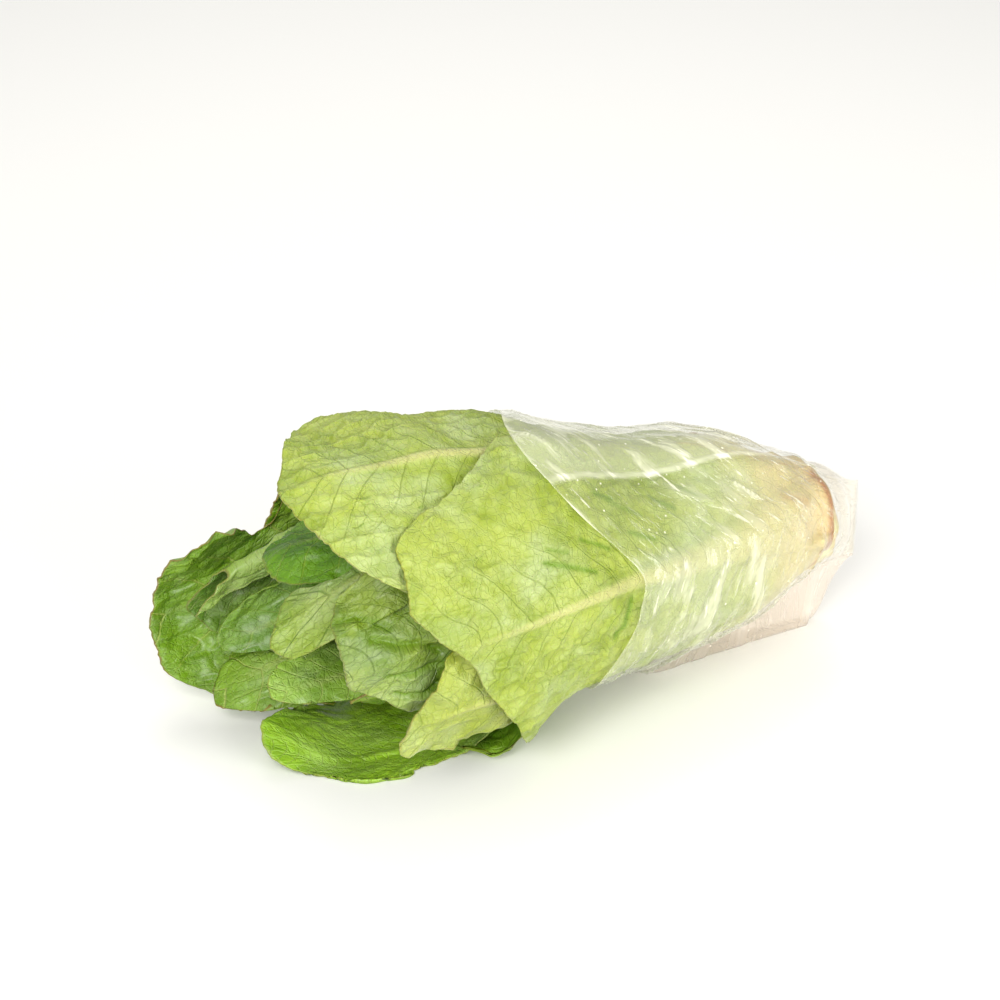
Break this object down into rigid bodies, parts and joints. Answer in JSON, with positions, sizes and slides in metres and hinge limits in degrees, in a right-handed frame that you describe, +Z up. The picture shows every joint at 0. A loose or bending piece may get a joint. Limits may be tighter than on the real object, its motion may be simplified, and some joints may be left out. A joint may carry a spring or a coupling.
{
  "type": "romaine lettuce head",
  "caption": "Cut head of romaine lettuce lying on its side: overlapping ribbed leaves round a short cut stem, its lower half in a loose clear film sleeve open at the leaf tips.",
  "frame": {"origin": "centre of the underside's bounding box, on the surface that the head lies on", "axes": "+X along the head towards the cut stem, -X towards the leaf tips, +Z up, -Y the side with the long outer leaves"},
  "size_m": [0.2934, 0.1548, 0.1426],
  "materials": {
    "stem": "moist cut stem, pale cream with a browned cut face",
    "heart_leaf": "pale yellow-green, waxy",
    "inner_leaf": "deep green, glossy, with pale veins",
    "pale_leaf": "yellow-green, waxy, with darker sunken veins",
    "outer_leaf": "light green underside of a leaf with a pale midrib, soft sheen",
    "film": "clear thin film, glossy, crinkled"
  },
  "bodies": {
    "root": {"cut_stem": "stem", "heart_leaf_01": "heart_leaf", "heart_leaf_02": "heart_leaf", "heart_leaf_03": "heart_leaf", "heart_leaf_04": "heart_leaf", "heart_leaf_05": "heart_leaf", "heart_leaf_06": "heart_leaf", "heart_leaf_07": "heart_leaf", "heart_leaf_08": "heart_leaf", "heart_leaf_09": "heart_leaf", "heart_leaf_10": "heart_leaf", "centre_leaf_far": "inner_leaf", "centre_leaf_low": "inner_leaf", "centre_leaf_near": "inner_leaf", "crown_leaf": "inner_leaf", "folded_leaf": "inner_leaf", "low_leaf_near": "inner_leaf", "low_leaf_far": "inner_leaf", "far_leaf": "inner_leaf", "floor_leaf": "inner_leaf", "back_leaf": "inner_leaf", "outer_leaf_under": "inner_leaf", "near_leaf_tip": "pale_leaf", "near_leaf": "pale_leaf", "side_leaf": "pale_leaf", "outer_leaf_back": "outer_leaf", "outer_leaf_top": "outer_leaf", "outer_leaf_front": "outer_leaf", "film_sleeve": "film"}
  },
  "joints": []
}
